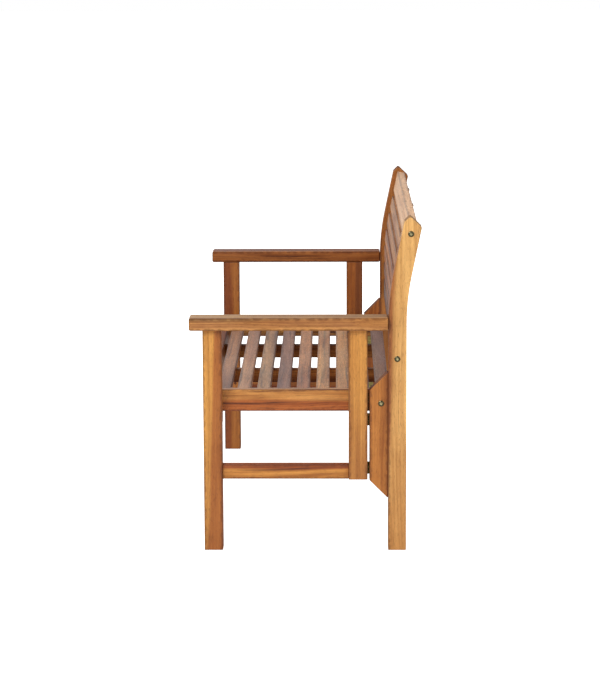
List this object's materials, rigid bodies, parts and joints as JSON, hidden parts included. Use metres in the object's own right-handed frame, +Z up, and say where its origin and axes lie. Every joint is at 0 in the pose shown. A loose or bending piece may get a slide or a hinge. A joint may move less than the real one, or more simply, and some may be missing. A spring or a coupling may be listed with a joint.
{
  "type": "garden bench",
  "caption": "Slatted wooden garden bench with curved back legs, flat armrests and a hinged seat that lifts up against the back; the arm frames hang on flap hinges.",
  "frame": {"origin": "on the floor, under the middle of the bench's bounding box", "axes": "+X along the bench, -Y towards the person's knees (front), +Z up"},
  "size_m": [1.2, 0.5983, 0.8776],
  "materials": {
    "acacia_oiled": "oiled, satin",
    "acacia_weathered": "oiled, sun-faded, matt",
    "dowel_wood": "plain",
    "yellow_zinc": "yellow zinc plated",
    "plated_steel": "zinc plated"
  },
  "bodies": {
    "frame": {"arm_dowels": "dowel_wood", "armrest_left": "acacia_oiled", "armrest_right": "acacia_oiled", "back_batten_left": "acacia_oiled", "back_batten_right": "acacia_oiled", "back_bolts": "plated_steel", "back_bottom_rail": "acacia_weathered", "back_slat_1": "acacia_weathered", "back_slat_2": "acacia_weathered", "back_slat_3": "acacia_weathered", "back_slat_4": "acacia_weathered", "back_slat_5": "acacia_weathered", "barrel_nuts": "plated_steel", "batten_screws": "plated_steel", "cleat_screws": "plated_steel", "crest_rail": "acacia_weathered", "front_leg_left": "acacia_oiled", "front_leg_right": "acacia_oiled", "hinge_leaves_post": "yellow_zinc", "hinge_leaves_wing": "yellow_zinc", "hinge_pins": "yellow_zinc", "hinge_screws": "yellow_zinc", "lower_rail_left": "acacia_oiled", "lower_rail_right": "acacia_oiled", "pivot_bolts": "plated_steel", "pivot_lock_nuts": "plated_steel", "pivot_spacers": "plated_steel", "pivot_washers": "plated_steel", "rear_leg_left": "acacia_oiled", "rear_leg_right": "acacia_oiled", "rear_post_left": "acacia_oiled", "rear_post_right": "acacia_oiled", "seat_rest_left": "acacia_oiled", "seat_rest_right": "acacia_oiled", "tenon_pegs": "dowel_wood", "wing_dowels": "dowel_wood", "wing_plate_left": "acacia_oiled", "wing_plate_right": "acacia_oiled"},
    "seat": {"bearer_dowels": "dowel_wood", "seat_bearer_left": "acacia_oiled", "seat_bearer_right": "acacia_oiled", "seat_corner_screws": "plated_steel", "seat_front_rail": "acacia_oiled", "seat_rail_left": "acacia_oiled", "seat_rail_right": "acacia_oiled", "seat_slat_1": "acacia_weathered", "seat_slat_2": "acacia_weathered", "seat_slat_3": "acacia_weathered", "seat_slat_4": "acacia_weathered", "seat_slat_5": "acacia_weathered", "seat_slat_6": "acacia_weathered", "seat_slat_7": "acacia_weathered", "seat_slat_8": "acacia_weathered", "seat_slat_9": "acacia_weathered", "seat_slat_screws": "plated_steel"}
  },
  "joints": [
    {"name": "seat_fold", "type": "hinge", "parent": "frame", "child": "seat", "pos_m": [0, 0.19558, 0.39], "axis": [-1, 0, 0], "range_deg": [0, 90]}
  ]
}
